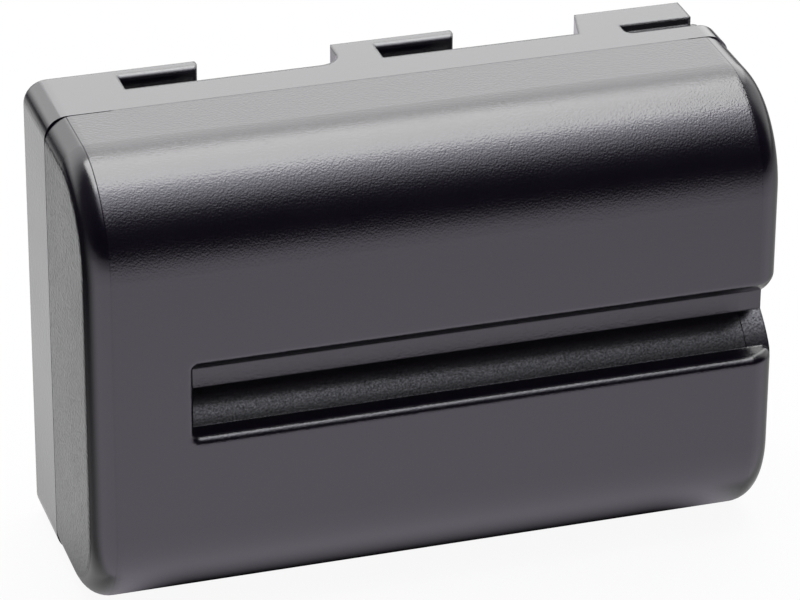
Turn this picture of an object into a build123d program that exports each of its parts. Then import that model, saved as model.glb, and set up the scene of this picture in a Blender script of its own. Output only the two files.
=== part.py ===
from build123d import *
import os

os.makedirs("parts", exist_ok=True)

# A two-cell rail-mounted camera battery, standing on its long narrow side.
# Millimetres. X runs along the pack, Y from the front to the back, Z up.

# Cells, which set the size of the whole pack
cell_diameter = 18.0
cell_length = 49.2
cell_fit = 0.12
can_edge = 0.5
cap_diameter = 8.0
cap_height = 0.35
bead_depth = 0.5
bead_width = 1.2
bead_from_end = 3.0

# Case walls
front_wall = 1.0
back_wall = 1.26
side_wall = 0.92
end_wall = 1.2
cell_stop = 0.4

# Layers at the two ends of the cells
layer_gap = 0.05
strip_thickness = 0.15
sheet_thickness = 0.3
board_thickness = 0.8
board_room = 2.0

# Outer form of the case
seam_from_back = 7.27
seam_gap = 0.12
lobe_radius = 8.0
corner_radius = 1.85
shell_corner_radius = 2.2
back_edge_radius = 0.35

# Tongue of the cover in the groove of the shell
tongue_inset = 0.5
tongue_thickness = 0.35
tongue_length = 1.0
tongue_fit = 0.05

# Keyway in the front
key_width = 6.2
key_above_middle = 0.11
key_depth = 4.2
key_from_left = 8.05
key_wall = 1.02
key_corner_radius = 0.45
key_rim_radius = 0.65

# Rails on the two long edges of the cover
rail_depth = 2.2
rail_notch_from_back = 3.8
rail_lip = 1.35
lip_edge_radius = 0.45
lip_corner_radius = 0.5
slot_1_from_left = 7.27
lip_1_from_left = 13.75
tab_2_from_middle = -3.1
slot_2_from_middle = 0.24
lip_2_from_middle = 6.88
tab_2_fillet = 1.8
tab_corner_radius = 0.5
tab_3_from_right = 10.5
tab_3_slant = 0.9
slot_3_from_right = 7.78
tab_3_end_from_right = 1.75
slot_3_from_back = 4.95
slot_3_width = 1.7
slot_3_depth = 0.7
slot_3_corner_radius = 0.7

# Space for the board and the links at the ends of the cells
pocket_front_wall = 1.25
pocket_half_height = 15.9
valley_half_height = 4.6

# Strips
link_width = 8.0
link_overhang = 3.5
link_corner_radius = 1.5
tail_width = 3.0
tail_from_cell = 2.4
tail_past_board = 0.4
tap_width = 2.0
tap_leg = 0.7
tap_from_back = 5.2
slot_fit = 0.1

# Insulators and board
sheet_margin = 0.2
washer_thickness = 0.2
washer_outer = 15.0
washer_inner = 9.5

# Small parts on the board: width across, height along Z, thickness
solder_gap = 0.03
gauge_size = (4.4, 5.0, 1.0)
switch_size = (4.4, 3.0, 1.0)
protection_size = (1.6, 2.9, 1.1)
sense_size = (3.2, 1.6, 0.6)
fuse_size = (3.2, 1.6, 0.8)
thermistor_size = (1.6, 0.8, 0.6)
capacitor_size = (0.8, 1.6, 0.8)
resistor_size = (0.5, 1.0, 0.4)
capacitor_pitch = 2.0
resistor_pitch = 1.8
gauge_lead_count = 7
switch_lead_count = 4
protection_lead_count = 3
lead_length = 0.8
lead_width = 0.3
lead_thickness = 0.15
chip_edge = 0.12

# Terminals
terminal_pitch = 4.0
terminal_slot_width = 1.6
terminal_slot_depth = 4.0
terminal_slot_length = 2.6
block_floor = 0.8
block_side = 1.2
block_fit = 0.06
contact_thickness = 0.2
contact_fit = 0.05
contact_pin = 0.5
contact_inset = 0.15

# Sizes that follow from the ones above
cell_radius = cell_diameter / 2
bore_radius = cell_radius + cell_fit
stop_radius = bore_radius - cell_stop
cell_pitch = cell_diameter + cell_fit
pack_depth = front_wall + 2 * cell_fit + cell_diameter + back_wall
pack_height = 2 * side_wall + 2 * cell_diameter + 3 * cell_fit
left_stack = 3 * layer_gap + sheet_thickness + strip_thickness
right_stack = 3 * layer_gap + strip_thickness + sheet_thickness + board_thickness
pack_length = 2 * end_wall + left_stack + cell_length + right_stack + board_room

left_x = -pack_length / 2
right_x = pack_length / 2
front_y = -pack_depth / 2
back_y = pack_depth / 2
middle_z = pack_height / 2
inner_left = left_x + end_wall
inner_right = right_x - end_wall
inner_back = back_y - back_wall
cell_y = front_y + front_wall + cell_fit + cell_radius
lower_cell_z = middle_z - cell_pitch / 2
upper_cell_z = middle_z + cell_pitch / 2
cell_left = inner_left + left_stack
cell_right = cell_left + cell_length
seam_y = back_y - seam_from_back
shell_back = seam_y - seam_gap / 2
cover_front = seam_y + seam_gap / 2
key_left = left_x + key_from_left
key_floor = front_y + key_depth
key_z = middle_z + key_above_middle
key_back_radius = bore_radius + key_wall
notch_y = back_y - rail_notch_from_back
lip_y = back_y - rail_lip
pocket_front = key_floor + pocket_front_wall
pocket_height = 2 * pocket_half_height
over = 1.0

link_x = inner_left + 2 * layer_gap + sheet_thickness
strap_x = cell_right + layer_gap
sheet_x = strap_x + strip_thickness + layer_gap
board_x = sheet_x + sheet_thickness + layer_gap
board_face = board_x + board_thickness
board_front = pocket_front + sheet_margin
board_back = inner_back - sheet_margin
board_height = pocket_height - 2 * sheet_margin
tail_end = board_face + tail_past_board
tail_y = cell_y - tail_from_cell
tap_y = back_y - tap_from_back
parts_x = board_face + solder_gap
slot_floor = back_y - terminal_slot_depth
terminal_x = right_x - terminal_slot_length
terminal_heights = [middle_z - terminal_pitch, middle_z, middle_z + terminal_pitch]
both_cells = [(cell_y, lower_cell_z), (cell_y, upper_cell_z)]
cell_room = (cell_left - layer_gap, cell_right + layer_gap, bore_radius)
end_room = (inner_left, inner_right, stop_radius)
tail_slot = strip_thickness + 2 * slot_fit


# Front shell: a lobed section run along the pack
with BuildSketch(Plane.YZ) as shell_section:
    with Locations(((front_y + shell_back) / 2, middle_z)):
        Rectangle(shell_back - front_y, pack_height)
    fillet(shell_section.vertices().group_by(Axis.X)[0], lobe_radius)

# The same section with rounded ends, which trims the shell after its keyway is cut
with BuildPart() as shell_blank:
    extrude(to_extrude=shell_section.sketch, amount=pack_length / 2, both=True)
    end_edges = shell_blank.faces().filter_by(Axis.X).edges()
    fillet(end_edges.filter_by(lambda e: e.center().Y < shell_back - 0.01), shell_corner_radius)

with BuildPart() as front_shell:
    extrude(to_extrude=shell_section.sketch, amount=pack_length / 2, both=True)
    # Keyway between the cells: its floor is flat and its sides follow the cells
    with BuildSketch(Plane.YZ.offset(key_left)):
        with Locations(((front_y - over + key_floor) / 2, key_z)):
            Rectangle(key_depth + over, key_width)
        with Locations(both_cells):
            Circle(key_back_radius, mode=Mode.SUBTRACT)
    extrude(amount=pack_length, mode=Mode.SUBTRACT)
    key_corners = front_shell.edges().filter_by(Axis.Y)
    fillet(key_corners.filter_by(lambda e: abs(e.center().X - key_left) < 0.01), key_corner_radius)
    add(shell_blank.part, mode=Mode.INTERSECT)
    # Rounded rim, which runs round the closed end and out over the rounded right end
    front_edges = front_shell.edges().filter_by_position(Axis.Y, front_y - 0.01, front_y + 0.01)
    key_rim = front_edges.filter_by(
        lambda e: abs(e.center().Z - key_z) < key_width / 2 + 0.01 and e.center().X > key_left - 0.01
    )
    end_arcs = front_shell.edges().filter_by(GeomType.CIRCLE).filter_by(
        lambda e: abs(abs(e.center().Z - key_z) - key_width / 2) < 0.01
        and e.center().X > right_x - shell_corner_radius
    )
    fillet(key_rim + end_arcs, key_rim_radius)
    # Bores for the cells, with a stop past each end and the rib between them kept in front
    for start, stop, radius in (cell_room, end_room):
        with BuildSketch(Plane.YZ.offset(start)):
            with Locations(both_cells):
                Circle(radius)
            with Locations(((cell_y + back_y) / 2, middle_z)):
                Rectangle(back_y - cell_y, 2 * valley_half_height)
        extrude(amount=stop - start, mode=Mode.SUBTRACT)
    # Room for the links and the board at the two ends
    for start, stop in ((inner_left, cell_left), (cell_right, inner_right)):
        with BuildSketch(Plane.YZ.offset(start)):
            with Locations(((pocket_front + back_y) / 2, middle_z)):
                Rectangle(back_y - pocket_front, pocket_height)
        extrude(amount=stop - start, mode=Mode.SUBTRACT)
    # Groove for the tongue of the cover
    with BuildSketch(Plane.XZ.offset(-shell_back)):
        with Locations((0, middle_z)):
            groove_out = tongue_inset - tongue_fit
            groove_in = tongue_inset + tongue_thickness + tongue_fit
            RectangleRounded(
                pack_length - 2 * groove_out, pack_height - 2 * groove_out, corner_radius - groove_out
            )
            RectangleRounded(
                pack_length - 2 * groove_in,
                pack_height - 2 * groove_in,
                corner_radius - groove_in,
                mode=Mode.SUBTRACT,
            )
    extrude(amount=tongue_length, mode=Mode.SUBTRACT)
front_shell.part.label = "front_shell"
export_step(front_shell.part, "parts/front_shell.step")


# Rear cover: a plate with rails cut into its two long edges
with BuildPart() as rear_cover:
    with BuildSketch(Plane.XZ.offset(-cover_front)):
        with Locations((0, middle_z)):
            RectangleRounded(pack_length, pack_height, corner_radius)
    extrude(amount=-(back_y - cover_front))
    fillet(rear_cover.faces().sort_by(Axis.Y)[-1].edges(), back_edge_radius)
    with BuildSketch(Plane.XZ.offset(-cover_front)):
        with Locations((0, middle_z)):
            tongue_in = tongue_inset + tongue_thickness
            RectangleRounded(
                pack_length - 2 * tongue_inset, pack_height - 2 * tongue_inset, corner_radius - tongue_inset
            )
            RectangleRounded(
                pack_length - 2 * tongue_in,
                pack_height - 2 * tongue_in,
                corner_radius - tongue_in,
                mode=Mode.SUBTRACT,
            )
    extrude(amount=tongue_length)
    # Rail notches, seen from above, with the same cuts upside down along the bottom edge
    slot_1 = left_x + slot_1_from_left
    lip_1 = left_x + lip_1_from_left
    tab_3_front = right_x - tab_3_from_right - tab_3_slant
    tab_3_back = right_x - tab_3_from_right
    tab_3_end = right_x - tab_3_end_from_right
    slot_3 = right_x - slot_3_from_right
    slot_3_y = back_y - slot_3_from_back
    lips = ((slot_1, lip_1), (slot_2_from_middle, lip_2_from_middle))
    tabs = (
        (slot_1, tab_2_from_middle, tab_2_from_middle),
        (slot_2_from_middle, tab_3_front, tab_3_back),
    )
    for floor_z, way in ((pack_height - rail_depth, 1), (rail_depth, -1)):
        with BuildSketch(Plane.XY.offset(floor_z)) as notches:
            # Each long notch, less the tab at its right end and the lip along its back
            for start, tab_front, tab_back in tabs:
                with Locations(((start + tab_back + over) / 2, (notch_y + back_y) / 2)):
                    Rectangle(tab_back + over - start, back_y - notch_y)
                with BuildSketch(mode=Mode.SUBTRACT) as tab:
                    with BuildLine():
                        Polyline(
                            (tab_front, notch_y),
                            (tab_back, back_y),
                            (tab_back + 2 * over, back_y),
                            (tab_back + 2 * over, notch_y),
                            close=True,
                        )
                    make_face()
                    fillet(tab.vertices().sort_by_distance((tab_back, back_y))[0], tab_corner_radius)
            for start, stop in lips:
                with BuildSketch(mode=Mode.SUBTRACT) as lip:
                    with Locations(((start + stop) / 2, (lip_y + back_y) / 2)):
                        Rectangle(stop - start, back_y - lip_y)
                    fillet(lip.vertices().group_by(Axis.X)[-1], lip_corner_radius)
            corner = notches.vertices().sort_by_distance((tab_2_from_middle, notch_y))[0]
            fillet(corner, tab_2_fillet)
            # The end notch
            with Locations(((tab_3_end + right_x + over) / 2, (slot_3_y + back_y + over) / 2)):
                Rectangle(right_x + over - tab_3_end, back_y + over - slot_3_y)
        extrude(amount=way * (rail_depth + over), mode=Mode.SUBTRACT)
    # Rounded front edges of the lips
    for edge_z, way in ((pack_height, 1), (0, -1)):
        for start, stop in lips:
            with BuildSketch(Plane.YZ.offset(start)):
                with Locations((lip_y + lip_edge_radius / 2, edge_z - way * lip_edge_radius / 2)):
                    Rectangle(lip_edge_radius, lip_edge_radius)
                with Locations((lip_y + lip_edge_radius, edge_z - way * lip_edge_radius)):
                    Circle(lip_edge_radius, mode=Mode.SUBTRACT)
            extrude(amount=stop - start, mode=Mode.SUBTRACT)
    # Shallow slot in the third tab
    for floor_z, way in ((pack_height - slot_3_depth, 1), (slot_3_depth, -1)):
        with BuildSketch(Plane.XY.offset(floor_z)) as slot:
            with Locations(((slot_3 + right_x + over) / 2, slot_3_y + slot_3_width / 2)):
                Rectangle(right_x + over - slot_3, slot_3_width)
            fillet(slot.vertices().sort_by_distance((slot_3, slot_3_y))[0], slot_3_corner_radius)
        extrude(amount=way * (slot_3_depth + over), mode=Mode.SUBTRACT)
    # Cradle for the cells, with a stop past each end and a valley between them
    for start, stop, radius in (cell_room, end_room):
        with BuildSketch(Plane.YZ.offset(start)):
            with Locations(both_cells):
                Circle(radius)
            with Locations(((front_y + inner_back) / 2, middle_z)):
                Rectangle(inner_back - front_y, 2 * valley_half_height)
        extrude(amount=stop - start, mode=Mode.SUBTRACT)
    for start, stop in ((inner_left, cell_left), (cell_right, inner_right)):
        with BuildSketch(Plane.YZ.offset(start)):
            with Locations(((pocket_front + inner_back) / 2, middle_z)):
                Rectangle(inner_back - pocket_front, pocket_height)
        extrude(amount=stop - start, mode=Mode.SUBTRACT)
    # Terminal slots, open at the right end and at the back
    with BuildSketch(Plane.YZ.offset(terminal_x)):
        with Locations([((slot_floor + back_y + over) / 2, z) for z in terminal_heights]):
            Rectangle(back_y + over - slot_floor, terminal_slot_width)
    extrude(amount=terminal_slot_length + over, mode=Mode.SUBTRACT)
rear_cover.part.label = "rear_cover"
export_step(rear_cover.part, "parts/rear_cover.step")


# Cells: sealed cans turned about their own axes, the upper one with its cap to the left
with BuildSketch(Plane.XY) as can_profile:
    with BuildLine():
        Polyline(
            (0, 0),
            (cell_length, 0),
            (cell_length, cap_diameter / 2),
            (cell_length - cap_height, cap_diameter / 2),
            (cell_length - cap_height, cell_radius),
            (cell_length - bead_from_end + bead_width / 2, cell_radius),
            (cell_length - bead_from_end, cell_radius - bead_depth),
            (cell_length - bead_from_end - bead_width / 2, cell_radius),
            (0, cell_radius),
            close=True,
        )
    make_face()
    chamfer(can_profile.vertices().sort_by_distance((0, cell_radius))[0], can_edge)

with BuildPart() as can:
    revolve(profiles=can_profile.sketch, axis=Axis.X)

with BuildPart() as lower_cell:
    with Locations((cell_left, cell_y, lower_cell_z)):
        add(can.part)
lower_cell.part.label = "lower_cell"
export_step(lower_cell.part, "parts/lower_cell.step")

with BuildPart() as upper_cell:
    with Locations(Location((cell_right, cell_y, upper_cell_z), (0, 180, 0))):
        add(can.part)
upper_cell.part.label = "upper_cell"
export_step(upper_cell.part, "parts/upper_cell.step")

# Insulating rings round the two caps
washer_back = cap_height - layer_gap
with BuildPart() as upper_cell_washer:
    with BuildSketch(Plane.YZ.offset(cell_left + washer_back)):
        with Locations((cell_y, upper_cell_z)):
            Circle(washer_outer / 2)
            Circle(washer_inner / 2, mode=Mode.SUBTRACT)
    extrude(amount=-washer_thickness)
upper_cell_washer.part.label = "upper_cell_washer"
export_step(upper_cell_washer.part, "parts/upper_cell_washer.step")

with BuildPart() as lower_cell_washer:
    with BuildSketch(Plane.YZ.offset(cell_right - washer_back)):
        with Locations((cell_y, lower_cell_z)):
            Circle(washer_outer / 2)
            Circle(washer_inner / 2, mode=Mode.SUBTRACT)
    extrude(amount=washer_thickness)
lower_cell_washer.part.label = "lower_cell_washer"
export_step(lower_cell_washer.part, "parts/lower_cell_washer.step")


# Strips that join the cells to one another and to the board
with BuildPart() as series_link:
    with BuildSketch(Plane.YZ.offset(link_x)):
        with Locations((cell_y, middle_z)):
            RectangleRounded(link_width, cell_pitch + 2 * link_overhang, link_corner_radius)
        # The foot that the centre tap is welded to
        with Locations(((cell_y + tap_y + strip_thickness) / 2, middle_z)):
            Rectangle(tap_y + strip_thickness - cell_y, tap_width)
    extrude(amount=strip_thickness)
series_link.part.label = "series_link"
export_step(series_link.part, "parts/series_link.step")

with BuildPart() as centre_tap_strap:
    with BuildSketch(Plane.XY.offset(middle_z)):
        with BuildLine():
            Polyline(
                (cell_left, tap_y - tap_leg),
                (cell_left + strip_thickness, tap_y - tap_leg),
                (cell_left + strip_thickness, tap_y),
                (tail_end, tap_y),
                (tail_end, tap_y + strip_thickness),
                (cell_left, tap_y + strip_thickness),
                close=True,
            )
        make_face()
    extrude(amount=tap_width / 2, both=True)
centre_tap_strap.part.label = "centre_tap_strap"
export_step(centre_tap_strap.part, "parts/centre_tap_strap.step")

with BuildPart() as negative_strap:
    with BuildSketch(Plane.YZ.offset(strap_x)):
        with Locations((cell_y, upper_cell_z)):
            RectangleRounded(link_width, link_width, link_corner_radius)
    extrude(amount=strip_thickness)
    with BuildSketch(Plane.YZ.offset(strap_x)):
        with Locations((tail_y, upper_cell_z)):
            Rectangle(strip_thickness, tail_width)
    extrude(amount=tail_end - strap_x)
negative_strap.part.label = "negative_strap"
export_step(negative_strap.part, "parts/negative_strap.step")

with BuildPart() as positive_strap:
    with BuildSketch(Plane.YZ.offset(strap_x)):
        with Locations((cell_y, lower_cell_z)):
            RectangleRounded(link_width, link_width, link_corner_radius)
    extrude(amount=strip_thickness)
    with BuildSketch(Plane.YZ.offset(strap_x)):
        with Locations((tail_y, lower_cell_z)):
            Rectangle(strip_thickness, tail_width)
    extrude(amount=tail_end - strap_x)
positive_strap.part.label = "positive_strap"
export_step(positive_strap.part, "parts/positive_strap.step")


# Insulating pad and sheet
with BuildPart() as left_end_pad:
    with BuildSketch(Plane.YZ.offset(inner_left + layer_gap)):
        with Locations(((board_front + board_back) / 2, middle_z)):
            Rectangle(board_back - board_front, board_height)
    extrude(amount=sheet_thickness)
left_end_pad.part.label = "left_end_pad"
export_step(left_end_pad.part, "parts/left_end_pad.step")

with BuildPart() as right_end_sheet:
    with BuildSketch(Plane.YZ.offset(sheet_x)):
        with Locations(((board_front + board_back) / 2, middle_z)):
            Rectangle(board_back - board_front, board_height)
        with Locations((tail_y, lower_cell_z), (tail_y, upper_cell_z)):
            Rectangle(tail_slot, tail_width + 2 * slot_fit, mode=Mode.SUBTRACT)
        with Locations((tap_y + strip_thickness / 2, middle_z)):
            Rectangle(tail_slot, tap_width + 2 * slot_fit, mode=Mode.SUBTRACT)
    extrude(amount=sheet_thickness)
right_end_sheet.part.label = "right_end_sheet"
export_step(right_end_sheet.part, "parts/right_end_sheet.step")


# Circuit board with slots for the strips and holes for the contact pins
pin_y = slot_floor + contact_fit + contact_thickness / 2
pin_hole = (contact_thickness + 2 * contact_fit, contact_pin + 2 * contact_fit)
with BuildPart() as circuit_board:
    with BuildSketch(Plane.YZ.offset(board_x)):
        with Locations(((board_front + board_back) / 2, middle_z)):
            Rectangle(board_back - board_front, board_height)
        with Locations((tail_y, lower_cell_z), (tail_y, upper_cell_z)):
            Rectangle(tail_slot, tail_width + 2 * slot_fit, mode=Mode.SUBTRACT)
        with Locations((tap_y + strip_thickness / 2, middle_z)):
            Rectangle(tail_slot, tap_width + 2 * slot_fit, mode=Mode.SUBTRACT)
        with Locations([(pin_y, z) for z in terminal_heights]):
            Rectangle(*pin_hole, mode=Mode.SUBTRACT)
    extrude(amount=board_thickness)
circuit_board.part.label = "circuit_board"
export_step(circuit_board.part, "parts/circuit_board.step")


# Chips and chip parts, soldered to the outer face of the board
def leaded_chip(y, z, size, leads):
    """A moulded chip body with rows of flat leads at its two sides."""
    with BuildPart() as chip:
        with BuildSketch(Plane.YZ.offset(parts_x)):
            with Locations((y, z)):
                Rectangle(size[0], size[1])
        extrude(amount=size[2])
        chamfer(chip.faces().sort_by(Axis.X)[-1].edges(), chip_edge)
        with BuildSketch(Plane.YZ.offset(parts_x)):
            with Locations((y, z)):
                with GridLocations(size[0] + lead_length, size[1] / leads, 2, leads):
                    Rectangle(lead_length, lead_width)
        extrude(amount=lead_thickness)
    return chip.part


def plain_chip(places, size):
    """Blocks of one size at several places, with eased outer edges."""
    with BuildPart() as blocks:
        with BuildSketch(Plane.YZ.offset(parts_x)):
            with Locations(places):
                Rectangle(size[0], size[1])
        extrude(amount=size[2])
        chamfer(blocks.faces().filter_by(Axis.X).group_by(Axis.X)[-1].edges(), chip_edge)
    return blocks.part


chip_y = cell_y + tail_from_cell
gauge_chip = leaded_chip(chip_y, lower_cell_z - gauge_size[1] / 4, gauge_size, gauge_lead_count)
gauge_chip.label = "gauge_chip"
export_step(gauge_chip, "parts/gauge_chip.step")

switch_chip = leaded_chip(chip_y, upper_cell_z + switch_size[1] / 4, switch_size, switch_lead_count)
switch_chip.label = "switch_chip"
export_step(switch_chip, "parts/switch_chip.step")

protection_z = middle_z + tap_width + protection_size[1] / 2
protection_chip = leaded_chip(chip_y, protection_z, protection_size, protection_lead_count)
protection_chip.label = "protection_chip"
export_step(protection_chip, "parts/protection_chip.step")

sense_z = lower_cell_z + tail_width + sense_size[1] / 2
sense_resistor = plain_chip([(tail_y, sense_z)], sense_size)
sense_resistor.label = "sense_resistor"
export_step(sense_resistor, "parts/sense_resistor.step")

fuse_z = upper_cell_z - tail_width - fuse_size[1] / 2
chip_fuse = plain_chip([(tail_y, fuse_z)], fuse_size)
chip_fuse.label = "chip_fuse"
export_step(chip_fuse, "parts/chip_fuse.step")

thermistor = plain_chip([(tail_y, middle_z)], thermistor_size)
thermistor.label = "thermistor"
export_step(thermistor, "parts/thermistor.step")

capacitor_z = middle_z - tap_width - capacitor_size[1] / 2
capacitor_places = [(chip_y + n * capacitor_pitch / 2, capacitor_z) for n in (-2, 0)]
chip_capacitors = plain_chip(capacitor_places, capacitor_size)
chip_capacitors.label = "chip_capacitors"
export_step(chip_capacitors, "parts/chip_capacitors.step")

resistor_y = board_back - tail_from_cell + chip_edge
resistor_places = [(resistor_y, lower_cell_z - n * resistor_pitch) for n in (0, 1, 2)]
chip_resistors = plain_chip(resistor_places, resistor_size)
chip_resistors.label = "chip_resistors"
export_step(chip_resistors, "parts/chip_resistors.step")


# Terminal block behind the slots of the cover, with a folded spring contact in each slot
block_front = slot_floor - block_floor
block_back = inner_back - block_fit
block_right = inner_right - block_fit
block_height = 2 * (terminal_pitch + terminal_slot_width / 2 + block_side)
with BuildPart() as terminal_block:
    with BuildSketch(Plane.YZ.offset(parts_x)):
        with Locations(((block_front + block_back) / 2, middle_z)):
            Rectangle(block_back - block_front, block_height)
        with Locations([(pin_y, z) for z in terminal_heights]):
            Rectangle(*pin_hole, mode=Mode.SUBTRACT)
    extrude(amount=block_right - parts_x)
    with BuildSketch(Plane.YZ.offset(terminal_x)):
        with Locations([((slot_floor + back_y) / 2, z) for z in terminal_heights]):
            Rectangle(back_y - slot_floor, terminal_slot_width)
    extrude(amount=right_x - terminal_x, mode=Mode.SUBTRACT)
terminal_block.part.label = "terminal_block"
export_step(terminal_block.part, "parts/terminal_block.step")

contact_left = terminal_x + contact_fit
contact_length = block_right - contact_inset - contact_left
contact_width = terminal_slot_width - 2 * contact_fit
contact_floor = slot_floor + contact_fit
contact_reach = block_back - contact_inset - contact_floor


def spring_contact(z):
    """A strip folded to a channel, with a pin through the block into the board."""
    with BuildPart() as contact:
        with BuildSketch(Plane.YZ.offset(contact_left)):
            with Locations((contact_floor + contact_reach / 2, z)):
                Rectangle(contact_reach, contact_width)
            with Locations((contact_floor + contact_thickness + contact_reach / 2, z)):
                Rectangle(contact_reach, contact_width - 2 * contact_thickness, mode=Mode.SUBTRACT)
        extrude(amount=contact_length)
        with BuildSketch(Plane.YZ.offset(board_x + layer_gap)):
            with Locations((pin_y, z)):
                Rectangle(contact_thickness, contact_pin)
        extrude(amount=contact_left - board_x)
    return contact.part


negative_contact = spring_contact(terminal_heights[0])
negative_contact.label = "negative_contact"
export_step(negative_contact, "parts/negative_contact.step")

data_contact = spring_contact(terminal_heights[1])
data_contact.label = "data_contact"
export_step(data_contact, "parts/data_contact.step")

positive_contact = spring_contact(terminal_heights[2])
positive_contact.label = "positive_contact"
export_step(positive_contact, "parts/positive_contact.step")
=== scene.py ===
"""Looks of a rail-mounted camera battery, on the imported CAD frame. Metres throughout."""

import math

import bpy
from mathutils import Matrix, Vector


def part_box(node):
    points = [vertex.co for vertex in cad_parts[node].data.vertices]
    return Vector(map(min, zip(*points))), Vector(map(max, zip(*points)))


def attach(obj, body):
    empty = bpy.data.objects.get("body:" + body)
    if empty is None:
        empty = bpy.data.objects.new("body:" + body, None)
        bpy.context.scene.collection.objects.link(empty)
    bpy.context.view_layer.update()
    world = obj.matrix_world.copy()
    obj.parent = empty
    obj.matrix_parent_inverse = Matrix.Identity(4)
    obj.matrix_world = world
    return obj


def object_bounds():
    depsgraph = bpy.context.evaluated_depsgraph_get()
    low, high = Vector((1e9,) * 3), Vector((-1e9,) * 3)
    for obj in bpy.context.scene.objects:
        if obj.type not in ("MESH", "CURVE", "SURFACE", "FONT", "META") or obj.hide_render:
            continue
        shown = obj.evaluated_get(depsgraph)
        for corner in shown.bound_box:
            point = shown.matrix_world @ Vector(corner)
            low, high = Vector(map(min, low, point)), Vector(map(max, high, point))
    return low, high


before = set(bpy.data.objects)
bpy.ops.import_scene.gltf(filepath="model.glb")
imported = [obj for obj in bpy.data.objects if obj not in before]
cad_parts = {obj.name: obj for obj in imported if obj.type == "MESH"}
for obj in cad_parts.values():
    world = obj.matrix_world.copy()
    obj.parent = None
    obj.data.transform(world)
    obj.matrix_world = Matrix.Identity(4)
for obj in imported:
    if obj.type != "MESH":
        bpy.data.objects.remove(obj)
cad_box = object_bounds()
low, high = (Vector(corner) for corner in cad_box)
middle = (low + high) / 2

# A value whose name ends in band is a pair: where a change starts and where it is complete

# Camera, fitted to the photograph
camera_azimuth = math.radians(17.4608)
camera_elevation = math.radians(27.3431)
camera_roll = math.radians(0.3813)
camera_distance = 0.36491
aim_right = -0.000264
aim_up = 0.000894
image_width = 800
focal_pixels = 4628.55
sensor_width = 36.0
clip_start = 0.01

# Softboxes: the direction and distance they stand at, their size and their radiance
top_towards = (0.04, 0.20, 0.98)
top_distance = 0.6
top_width = 0.58
top_height = 0.48
top_radiance = 5.65
back_towards = (0.32, 0.82, 0.48)
back_distance = 0.7
back_width = 0.60
back_height = 0.62
back_radiance = 0.95

# Room in reflections, whose bands are parts of a direction
dark_room = 0.007
side_room = 0.05
front_band = (-0.6, 0.2)
back_room = 1.7
back_band = (0.3, 0.8)
back_horizon = 0.25
horizon_band = (0.0, 0.25)
right_room = 0.9
right_band = (0.4, 0.8)
right_back_band = (-0.2, 0.3)

# Spill of the top softbox towards the front, whose bands are parts of a direction
spill_radiance = 3.1
spill_tint = (0.97, 0.97, 1.08, 1)
spill_middle = 0.05
spill_up_band = (0.62, 0.95)
spill_side_band = (0.35, 0.5)
spill_back_band = (-0.2, 0.0)

# Floor
floor_half = 2.0
floor_gap = 0.00002
floor_grey = 0.55
floor_white = 0.93
# Tint that only reflections show: a painted violet cast on the case
painted_reflection_tint = (1.0, 0.94, 1.08)

# Floor in reflections: a painted shadow, a dark patch with round corners, which reaches a little past
# the ends
painted_shadow_corner = 0.01
painted_shadow_reach = 0.001
painted_shadow_band = (-0.0045, 0.0012)

# Floor in reflections: bearings from the front corners, at which the front ends and the back starts
floor_front_band = (math.radians(-25), math.radians(27))
floor_back_band = (math.radians(60), math.radians(70))

# Floor in reflections: painted shade past the left end, by distance, and past the right end
floor_left_close = 0.75
floor_left_near = 0.25
floor_left_far = 0.02
floor_close_band = (0.001, 0.009)
floor_near_band = (0.008, 0.06)
floor_right = 0.5
floor_middle_band = (-0.01, 0.01)

# Floor in reflections: painted contact shade close beside the ends, lighter towards the back
floor_contact = 0.45
floor_contact_back = 0.8
floor_contact_band = (0.0005, 0.006)
floor_contact_depth_band = (-0.004, 0.01)
floor_end_band = (-0.004, 0.0)

# Floor in reflections: painted light, brighter at the left than at the right, and dimmer far away
painted_light_left = 1.08
painted_light_right = 0.95
painted_light_band = (-0.03, 0.07)
floor_far = 0.3
floor_far_band = (0.03, 0.35)

# Case plastic, whose grain and clouds are in features per metre
plastic_dark = (0.0034, 0.0022, 0.0060)
plastic_light = (0.0050, 0.0034, 0.0082)
coarse_scale = 6500
fine_scale = 14000
fine_share = 0.4
cloud_scale = 180
cloud_detail = 3.0
cloud_rough = 0.06

# Mould insert lines near the two ends, outside which the shell is polished
insert_left = low.x + 0.00175
insert_right = high.x - 0.00193
insert_step = 0.00006
insert_line = 0.00005
line_upright = 0.15
line_up_band = (0.0, 0.4)
polish_rough = 0.06
polish_flat = 0.85

# End faces, with pits that are drawn out from front to back, and less gloss towards the seam
end_facing_band = (0.96, 0.995)
pit_stretch = (1, 0.4, 1)
pit_scale = 5000
pit_detail = 1.0
end_grain = 6.0
end_dull = 0.24
end_dull_reach = 0.0045

# Keyway, on whose lower side the grain is shallow and shows as fine flecks
keyway_left = low.x + 0.0075
keyway_rim = low.y + 0.0008
keyway_back = low.y + 0.0050
keyway_height = 0.01921
keyway_half = 0.0034
keyway_blend = 0.0004
keyway_up_band = (0.1, 0.4)
keyway_grain = 0.3
fleck_scale = 7000
fleck_contrast = 1.7
noise_middle = 0.5

# Rounded edges of the mouldings, smaller at the seam and larger on the tabs behind it
edge_radius = 0.00018
seam_edge_radius = 0.00004
seam_edge_band = (0.0004, 0.001)
tab_edge_radius = 0.0004
tab_from_seam = 0.0025
tab_blend = 0.001
bevel_samples = 4

# Weld bead that closes the seam along the two long sides, but not at the corners
seam_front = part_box("front_shell")[1][1]
seam_gap = 0.00012
bead_fit = 0.000004
bead_recess = 0.000006
bead_depth = 0.00042
bead_left = low.x + 0.0054
bead_left_end = low.x + 0.0022
bead_right = high.x - 0.0035
bead_right_end = high.x - 0.0019

# Grain that the finishes of the inner pieces share
plain_detail = 3.0
plain_roughness = 0.6
plain_swing = 0.1
plain_bump = 0.5


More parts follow.
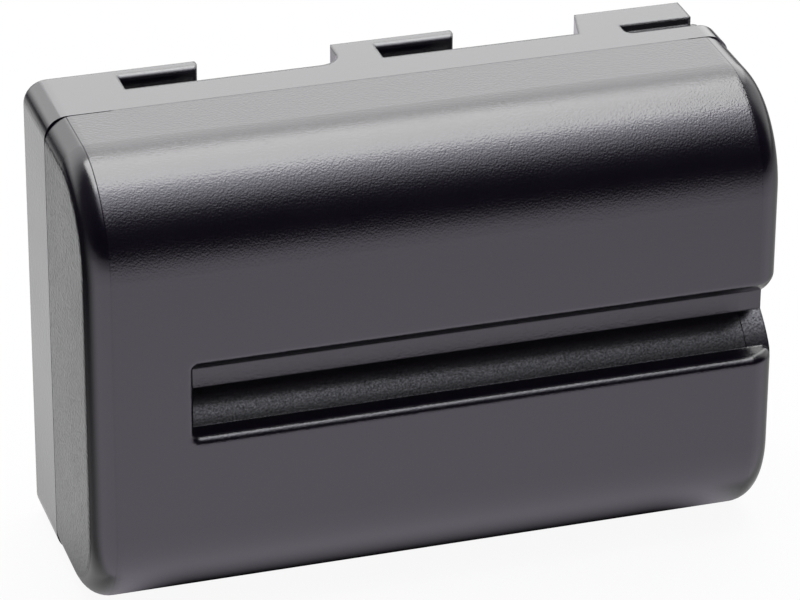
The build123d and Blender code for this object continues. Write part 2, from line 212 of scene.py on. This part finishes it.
# Node helpers
def add(tree, kind, inputs=None, **settings):
    """Adds a node, sets its settings, and fills or links its inputs."""
    made = tree.nodes.new(kind)
    for name, value in settings.items():
        setattr(made, name, value)
    for name, value in (inputs or {}).items():
        if isinstance(value, bpy.types.NodeSocket):
            tree.links.new(value, made.inputs[name])
        else:
            made.inputs[name].default_value = value
    return made


def maths(tree, operation, *values):
    """A Math node's result, from sockets or numbers."""
    made = add(tree, "ShaderNodeMath", dict(enumerate(values)), operation=operation)
    return made.outputs[0]


def remap(tree, value, from_low, from_high, to_low, to_high, kind="SMOOTHSTEP"):
    """A step of a value from one range to another, smooth unless said otherwise."""
    made = add(
        tree,
        "ShaderNodeMapRange",
        {
            "Value": value,
            "From Min": from_low,
            "From Max": from_high,
            "To Min": to_low,
            "To Max": to_high,
        },
        interpolation_type=kind,
    )
    return made.outputs["Result"]


def blend(tree, factor, first, second):
    """A value that runs evenly from the first to the second as a factor goes from 0 to 1."""
    return remap(tree, factor, 0, 1, first, second, "LINEAR")


def axes(tree, vector):
    """The X, Y and Z of a vector."""
    split = add(tree, "ShaderNodeSeparateXYZ", {"Vector": vector})
    return split.outputs["X"], split.outputs["Y"], split.outputs["Z"]


def noise(tree, place, scale, detail=0.0, roughness=0.5):
    """Noise in the object's own space, with its scale in features per metre."""
    made = add(
        tree,
        "ShaderNodeTexNoise",
        {
            "Vector": place.outputs["Object"],
            "Scale": scale,
            "Detail": detail,
            "Roughness": roughness,
        },
    )
    return made.outputs["Fac"]


def tint(tree, factor, dark, light):
    """A colour that runs from dark to light with a factor."""
    made = add(tree, "ShaderNodeMix", data_type="RGBA")
    tree.links.new(factor, made.inputs["Factor"])
    made.inputs[6].default_value = (*dark, 1)
    made.inputs[7].default_value = (*light, 1)
    return made.outputs[2]


def bump(tree, principled, height, distance, strength):
    """Bump from a height, given as a distance in metres."""
    values = {"Height": height, "Distance": distance, "Strength": strength}
    made = add(tree, "ShaderNodeBump", values)
    tree.links.new(made.outputs["Normal"], principled.inputs["Normal"])
    return made


def mix(tree, factor, first, second):
    """The result of two shader nodes, mixed by a factor."""
    made = add(tree, "ShaderNodeMixShader", {"Fac": factor, 1: first.outputs[0], 2: second.outputs[0]})
    return made.outputs[0]


def shader(name, **constants):
    """A new material with a principled shader, whose constant values are set on its own sockets."""
    material = bpy.data.materials.new(name)
    material.use_nodes = True
    tree = material.node_tree
    principled = tree.nodes["Principled BSDF"]
    for socket, value in constants.items():
        principled.inputs[socket.replace("_", " ")].default_value = value
    place = tree.nodes.new("ShaderNodeTexCoord")
    return material, tree, principled, place


# Materials
def keyway_side(tree, x, y, z, upward):
    """How far a place is on the keyway's lower side, from 0 to 1."""
    from_middle = maths(tree, "ABSOLUTE", maths(tree, "SUBTRACT", z, keyway_height))
    inside = remap(tree, from_middle, keyway_half - keyway_blend, keyway_half, 1, 0)
    for along, first, last in (
        (x, keyway_left, keyway_left + keyway_blend),
        (y, keyway_rim, keyway_rim + keyway_blend),
        (y, keyway_back + keyway_blend, keyway_back),
    ):
        inside = maths(tree, "MULTIPLY", inside, remap(tree, along, first, last, 0, 1))
    return maths(tree, "MULTIPLY", inside, remap(tree, upward, *keyway_up_band, 0, 1))


def case_plastic(name, ior, grain_depth, base_rough, end_rough, insert_depth):
    """Black moulded plastic: a spark-eroded grain, polished between the insert lines and the ends."""
    material, tree, principled, place = shader(name, IOR=ior)
    x, y, z = axes(tree, place.outputs["Object"])
    sideways, _, upward = axes(tree, place.outputs["Normal"])

    # Parts of the case
    past_left = remap(tree, x, insert_left, insert_left - insert_step, 0, 1)
    past_right = remap(tree, x, insert_right, insert_right + insert_step, 0, 1)
    past = maths(tree, "MAXIMUM", past_left, past_right)
    end_on = remap(tree, maths(tree, "ABSOLUTE", sideways), *end_facing_band, 0, 1)
    polished = maths(tree, "MULTIPLY", past, maths(tree, "SUBTRACT", 1, end_on))
    in_keyway = keyway_side(tree, x, y, z, upward)

    # Colour
    cloud = noise(tree, place, cloud_scale, cloud_detail)
    colour = tint(tree, cloud, plastic_dark, plastic_light)
    tree.links.new(colour, principled.inputs["Base Color"])

    # Gloss, which the insert lines, the end faces and the keyway's flecks change on the shell
    principled.inputs["Specular IOR Level"].default_value = 1.0
    if insert_depth > 0:
        from_left = maths(tree, "ABSOLUTE", maths(tree, "SUBTRACT", x, insert_left))
        from_right = maths(tree, "ABSOLUTE", maths(tree, "SUBTRACT", x, insert_right))
        nearest = maths(tree, "MINIMUM", from_left, from_right)
        line = remap(tree, nearest, insert_line / 2, insert_line, insert_depth, 0)
        line = maths(tree, "MULTIPLY", line, remap(tree, upward, *line_up_band, line_upright, 1))
        to_seam = remap(tree, y, seam_front - end_dull_reach, seam_front, 0, end_dull)
        dull = maths(tree, "MULTIPLY", to_seam, maths(tree, "MULTIPLY", end_on, insert_depth))
        flecks = maths(tree, "SUBTRACT", noise(tree, place, fleck_scale), noise_middle)
        contrast = maths(tree, "MULTIPLY", in_keyway, fleck_contrast)
        flecks = maths(tree, "MULTIPLY", flecks, contrast)
        gloss = maths(tree, "SUBTRACT", maths(tree, "SUBTRACT", 1, line), dull)
        gloss = maths(tree, "ADD", gloss, flecks)
        tree.links.new(gloss, principled.inputs["Specular IOR Level"])

    # Roughness
    swing = maths(tree, "MULTIPLY", cloud, cloud_rough)
    rough = maths(tree, "ADD", base_rough - cloud_rough / 2, swing)
    rough = maths(tree, "SUBTRACT", rough, maths(tree, "MULTIPLY", polished, polish_rough))
    rough = maths(tree, "ADD", rough, maths(tree, "MULTIPLY", end_on, end_rough - base_rough))
    tree.links.new(rough, principled.inputs["Roughness"])

    # Grain, and pits on the end faces instead of it
    coarse = noise(tree, place, coarse_scale)
    fine = noise(tree, place, fine_scale)
    grain = maths(tree, "ADD", coarse, maths(tree, "MULTIPLY", fine, fine_share))
    grain = maths(tree, "MULTIPLY", grain, remap(tree, in_keyway, 0, 1, 1, keyway_grain))
    textured = maths(tree, "SUBTRACT", 1, maths(tree, "MULTIPLY", polished, polish_flat))
    textured = maths(tree, "SUBTRACT", textured, end_on)
    stretch = {0: place.outputs["Object"], 1: pit_stretch}
    drawn_out = add(tree, "ShaderNodeVectorMath", stretch, operation="MULTIPLY")
    pit_values = {"Vector": drawn_out.outputs[0], "Scale": pit_scale, "Detail": pit_detail}
    pits = add(tree, "ShaderNodeTexNoise", pit_values)
    pitted = maths(tree, "MULTIPLY", pits.outputs["Fac"], end_grain)
    relief = maths(tree, "MULTIPLY", grain, textured)
    relief = maths(tree, "ADD", relief, maths(tree, "MULTIPLY", pitted, end_on))
    grained = bump(tree, principled, relief, grain_depth, 1.0)

    # Edges that the moulding leaves slightly round
    tabs = seam_front + tab_from_seam
    from_seam = maths(tree, "ABSOLUTE", maths(tree, "SUBTRACT", y, seam_front))
    round_edge = remap(tree, from_seam, *seam_edge_band, seam_edge_radius, edge_radius)
    round_edge = remap(tree, y, tabs, tabs + tab_blend, round_edge, tab_edge_radius)
    rounded = add(tree, "ShaderNodeBevel", {"Radius": round_edge}, samples=bevel_samples)
    tree.links.new(rounded.outputs["Normal"], grained.inputs["Normal"])
    return material


def plain_finish(name, dark, light, scale, rough, depth, **constants):
    """A finish whose colour, roughness and bump follow one grain."""
    material, tree, principled, place = shader(name, **constants)
    grain = noise(tree, place, scale, plain_detail, plain_roughness)
    tree.links.new(tint(tree, grain, dark, light), principled.inputs["Base Color"])
    swing = maths(tree, "MULTIPLY", grain, plain_swing)
    uneven = maths(tree, "ADD", rough - plain_swing / 2, swing)
    tree.links.new(uneven, principled.inputs["Roughness"])
    bump(tree, principled, grain, depth, plain_bump)
    return material


shell_plastic = case_plastic(
    "shell_plastic",
    ior=1.5,
    grain_depth=0.000014,
    base_rough=0.24,
    end_rough=0.29,
    insert_depth=0.7,
)
cover_plastic = case_plastic(
    "cover_plastic",
    ior=1.6,
    grain_depth=0.000003,
    base_rough=0.17,
    end_rough=0.17,
    insert_depth=0.0,
)
cell_can = plain_finish(
    "cell_can",
    dark=(0.50, 0.50, 0.48),
    light=(0.62, 0.61, 0.59),
    scale=2500,
    rough=0.3,
    depth=0.000008,
    Metallic=1.0,
)
insulating_paper = plain_finish(
    "insulating_paper",
    dark=(0.42, 0.40, 0.36),
    light=(0.56, 0.54, 0.49),
    scale=6000,
    rough=0.75,
    depth=0.00002,
)
nickel_strip = plain_finish(
    "nickel_strip",
    dark=(0.55, 0.53, 0.49),
    light=(0.67, 0.65, 0.61),
    scale=3500,
    rough=0.28,
    depth=0.000006,
    Metallic=1.0,
)
board_laminate = plain_finish(
    "board_laminate",
    dark=(0.01, 0.07, 0.03),
    light=(0.02, 0.11, 0.05),
    scale=2200,
    rough=0.4,
    depth=0.00001,
)
chip_plastic = plain_finish(
    "chip_plastic",
    dark=(0.012, 0.012, 0.013),
    light=(0.02, 0.02, 0.021),
    scale=9000,
    rough=0.6,
    depth=0.00001,
)
chip_ceramic = plain_finish(
    "chip_ceramic",
    dark=(0.42, 0.35, 0.27),
    light=(0.52, 0.45, 0.36),
    scale=7000,
    rough=0.5,
    depth=0.000008,
)
block_plastic = plain_finish(
    "block_plastic",
    dark=(0.010, 0.010, 0.011),
    light=(0.016, 0.016, 0.017),
    scale=6000,
    rough=0.5,
    depth=0.00001,
)
contact_metal = plain_finish(
    "contact_metal",
    dark=(0.72, 0.55, 0.28),
    light=(0.80, 0.63, 0.34),
    scale=4000,
    rough=0.25,
    depth=0.000005,
    Metallic=1.0,
)
node_finish = {
    "front_shell": shell_plastic,
    "rear_cover": cover_plastic,
    "upper_cell": cell_can,
    "lower_cell": cell_can,
    "upper_cell_washer": insulating_paper,
    "lower_cell_washer": insulating_paper,
    "left_end_pad": insulating_paper,
    "right_end_sheet": insulating_paper,
    "series_link": nickel_strip,
    "centre_tap_strap": nickel_strip,
    "negative_strap": nickel_strip,
    "positive_strap": nickel_strip,
    "circuit_board": board_laminate,
    "protection_chip": chip_plastic,
    "gauge_chip": chip_plastic,
    "switch_chip": chip_plastic,
    "sense_resistor": chip_ceramic,
    "chip_fuse": chip_ceramic,
    "thermistor": chip_ceramic,
    "chip_capacitors": chip_ceramic,
    "chip_resistors": chip_ceramic,
    "terminal_block": block_plastic,
    "negative_contact": contact_metal,
    "data_contact": contact_metal,
    "positive_contact": contact_metal,
}
for name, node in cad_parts.items():
    node.data.materials.clear()
    node.data.materials.append(node_finish[name])


# Seam
def seam_bead(name, surface, inward):
    """A strip in the seam of one long side, whose ends sink away from the surface."""
    side = [
        (bead_left_end, bead_depth),
        (bead_left, bead_recess),
        (bead_right, bead_recess),
        (bead_right_end, bead_depth),
    ]
    front = seam_front + bead_fit
    back = seam_front + seam_gap - bead_fit
    points = [(x, y, surface + inward * depth) for y in (front, back) for x, depth in side]
    faces = [(0, 1, 2, 3), (7, 6, 5, 4), (0, 4, 5, 1), (1, 5, 6, 2), (2, 6, 7, 3), (3, 7, 4, 0)]
    mesh = bpy.data.meshes.new(name)
    mesh.from_pydata(points, [], faces)
    if inward > 0:
        mesh.flip_normals()
    mesh.materials.append(shell_plastic)
    bead = bpy.data.objects.new(name, mesh)
    bpy.context.scene.collection.objects.link(bead)
    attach(bead, "root")


seam_bead("upper_seam_bead", high.z, -1)
seam_bead("lower_seam_bead", low.z, 1)


# Studio
def studio_world():
    """White to the camera; in reflections a dark room in front, and pale walls behind and right."""
    world = bpy.data.worlds.new("studio")
    bpy.context.scene.world = world
    world.use_nodes = True
    tree = world.node_tree
    tree.nodes.clear()
    path = tree.nodes.new("ShaderNodeLightPath")
    place = tree.nodes.new("ShaderNodeTexCoord")
    x, y, z = axes(tree, place.outputs["Generated"])

    # Walls
    front_half = remap(tree, y, *front_band, dark_room, side_room)
    back_half = remap(tree, y, *back_band, 0, back_room - side_room)
    above = remap(tree, z, *horizon_band, back_horizon, 1)
    back_half = maths(tree, "MULTIPLY", back_half, above)
    right_half = remap(tree, x, *right_band, 0, right_room)
    right_half = maths(tree, "MULTIPLY", right_half, remap(tree, y, *right_back_band, 0, 1))
    room = maths(tree, "ADD", front_half, maths(tree, "MAXIMUM", back_half, right_half))
    walls = add(tree, "ShaderNodeBackground", {"Color": (1, 1, 1, 1), "Strength": room})

    # The softbox fades out towards the front
    height = remap(tree, z, *spill_up_band, 0, 1, "LINEAR")
    spill = maths(tree, "MULTIPLY", maths(tree, "POWER", height, 2), spill_radiance)
    inward = maths(tree, "ABSOLUTE", maths(tree, "SUBTRACT", x, spill_middle))
    spill = maths(tree, "MULTIPLY", spill, remap(tree, inward, *spill_side_band, 1, 0))
    spill = maths(tree, "MULTIPLY", spill, remap(tree, y, *spill_back_band, 1, 0))
    fading = add(tree, "ShaderNodeBackground", {"Color": spill_tint, "Strength": spill})

    # What the camera sees, and what the object reflects
    around = add(tree, "ShaderNodeAddShader", {0: fading.outputs[0], 1: walls.outputs[0]})
    white = add(tree, "ShaderNodeBackground", {"Color": (1, 1, 1, 1), "Strength": 1.0})
    both = mix(tree, path.outputs["Is Camera Ray"], around, white)
    add(tree, "ShaderNodeOutputWorld", {"Surface": both})


def softbox(name, towards, distance, width, height, radiance):
    """A rectangular lamp that faces the object from a direction and has a given radiance."""
    light = bpy.data.lights.new(name, "AREA")
    light.shape = "RECTANGLE"
    light.size = width
    light.size_y = height
    light.energy = radiance * math.pi * width * height
    lamp = bpy.data.objects.new(name, light)
    bpy.context.scene.collection.objects.link(lamp)
    away = Vector(towards).normalized()
    across = Vector((1, 0, 0)) - away * away.x
    across.normalize()
    upward = away.cross(across)
    turn = Matrix((across, upward, away)).transposed()
    lamp.matrix_world = Matrix.Translation(middle + away * distance) @ turn.to_4x4()
    lamp.visible_camera = False


def floor_finish():
    """White to the camera apart from the object's shadow; in reflections its brightness carries
    painted shadow, shade and light, and a painted tint.
    """
    material = bpy.data.materials.new("floor")
    material.use_nodes = True
    tree = material.node_tree
    tree.nodes.clear()
    path = tree.nodes.new("ShaderNodeLightPath")
    place = tree.nodes.new("ShaderNodeTexCoord")
    x, y, _ = axes(tree, place.outputs["Object"])

    # Painted shadow in reflections: dark underneath the object
    beside_x = maths(tree, "SUBTRACT", maths(tree, "ABSOLUTE", x), high.x)
    beside_y = maths(tree, "SUBTRACT", maths(tree, "ABSOLUTE", y), high.y)
    past_end = maths(tree, "ADD", beside_x, painted_shadow_corner - painted_shadow_reach)
    past_end = maths(tree, "POWER", maths(tree, "MAXIMUM", past_end, 0), 2)
    past_side = maths(tree, "ADD", beside_y, painted_shadow_corner)
    past_side = maths(tree, "POWER", maths(tree, "MAXIMUM", past_side, 0), 2)
    past_both = maths(tree, "SQRT", maths(tree, "ADD", past_end, past_side))
    outside = maths(tree, "SUBTRACT", past_both, painted_shadow_corner)
    clear = remap(tree, outside, *painted_shadow_band, 0, 1)

    # White in front and behind; painted shade past the two ends
    bearing = maths(tree, "ARCTAN2", maths(tree, "ADD", y, high.y), beside_x)
    in_front = remap(tree, bearing, *floor_front_band, 1, 0)
    in_back = remap(tree, bearing, *floor_back_band, 0, 1)
    side = remap(tree, outside, *floor_near_band, floor_left_near, floor_left_far)
    side = remap(tree, outside, *floor_close_band, floor_left_close, side)
    side = remap(tree, x, *floor_middle_band, side, floor_right)
    # Painted contact shade beside the ends, darker nearer the object and towards the front
    shade = (floor_contact, floor_contact_back)
    touching = remap(tree, y, *floor_contact_depth_band, *shade, "LINEAR")
    contact = remap(tree, beside_x, *floor_contact_band, touching, 1, "LINEAR")
    past_ends = remap(tree, beside_x, *floor_end_band, 0, 1)
    behind = blend(tree, past_ends, 1, contact)
    lit = blend(tree, in_front, side, 1)
    lit = blend(tree, in_back, lit, behind)
    # Painted light: the reflected floor is brighter at the left and dimmer at the right
    gain = remap(tree, x, *painted_light_band, painted_light_left, painted_light_right, "LINEAR")
    lit = maths(tree, "MULTIPLY", lit, gain)
    # Painted light falloff: the reflected floor dims far from the object
    reach = add(
        tree, "ShaderNodeVectorMath", {0: place.outputs["Object"]}, operation="LENGTH"
    )
    near = remap(tree, reach.outputs["Value"], *floor_far_band, 1, floor_far)
    mirrored = maths(tree, "MULTIPLY", maths(tree, "MULTIPLY", clear, lit), near)

    # What the camera sees, and what the object reflects
    glossy = path.outputs["Is Glossy Ray"]
    strength = blend(tree, glossy, 1, mirrored)
    # Painted reflection colour: for glossy rays the floor is tinted, apart from past the ends
    tinted = maths(tree, "MAXIMUM", in_front, maths(tree, "SUBTRACT", 1, past_ends))
    glow = tint(tree, maths(tree, "MULTIPLY", glossy, tinted), (1, 1, 1), painted_reflection_tint)
    white = add(tree, "ShaderNodeEmission", {"Color": glow, "Strength": strength})
    straight = maths(tree, "MULTIPLY", path.outputs["Is Camera Ray"], floor_white)
    share = maths(tree, "MAXIMUM", straight, glossy)
    grey = (floor_grey, floor_grey, floor_grey, 1)
    matte = add(tree, "ShaderNodeBsdfDiffuse", {"Color": grey})
    add(tree, "ShaderNodeOutputMaterial", {"Surface": mix(tree, share, matte, white)})
    return material


def floor():
    """A pale floor, just under the object."""
    level = low.z - floor_gap
    turns = ((-1, -1), (1, -1), (1, 1), (-1, 1))
    corners = [(floor_half * along, floor_half * back, level) for along, back in turns]
    mesh = bpy.data.meshes.new("floor")
    mesh.from_pydata(corners, [], [(0, 1, 2, 3)])
    plane = bpy.data.objects.new("floor", mesh)
    bpy.context.scene.collection.objects.link(plane)
    mesh.materials.append(floor_finish())


def camera():
    """The photograph's camera, which looks from the front left and above."""
    level = math.cos(camera_elevation)
    forward = Vector(
        (
            math.sin(camera_azimuth) * level,
            math.cos(camera_azimuth) * level,
            -math.sin(camera_elevation),
        )
    )
    across = Vector((math.cos(camera_azimuth), -math.sin(camera_azimuth), 0))
    upward = across.cross(forward)
    turn = math.cos(camera_roll)
    lean = math.sin(camera_roll)
    across, upward = turn * across + lean * upward, turn * upward - lean * across
    data = bpy.data.cameras.new("camera")
    data.sensor_width = sensor_width
    data.lens = focal_pixels * sensor_width / image_width
    data.clip_start = clip_start
    eye = bpy.data.objects.new("camera", data)
    bpy.context.scene.collection.objects.link(eye)
    place = middle - forward * camera_distance + across * aim_right + upward * aim_up
    turned = Matrix((across, upward, -forward)).transposed()
    eye.matrix_world = Matrix.Translation(place) @ turned.to_4x4()
    bpy.context.scene.camera = eye


studio_world()
softbox("top_softbox", top_towards, top_distance, top_width, top_height, top_radiance)
softbox("back_softbox", back_towards, back_distance, back_width, back_height, back_radiance)
floor()
camera()
bpy.context.scene.view_settings.view_transform = "Standard"
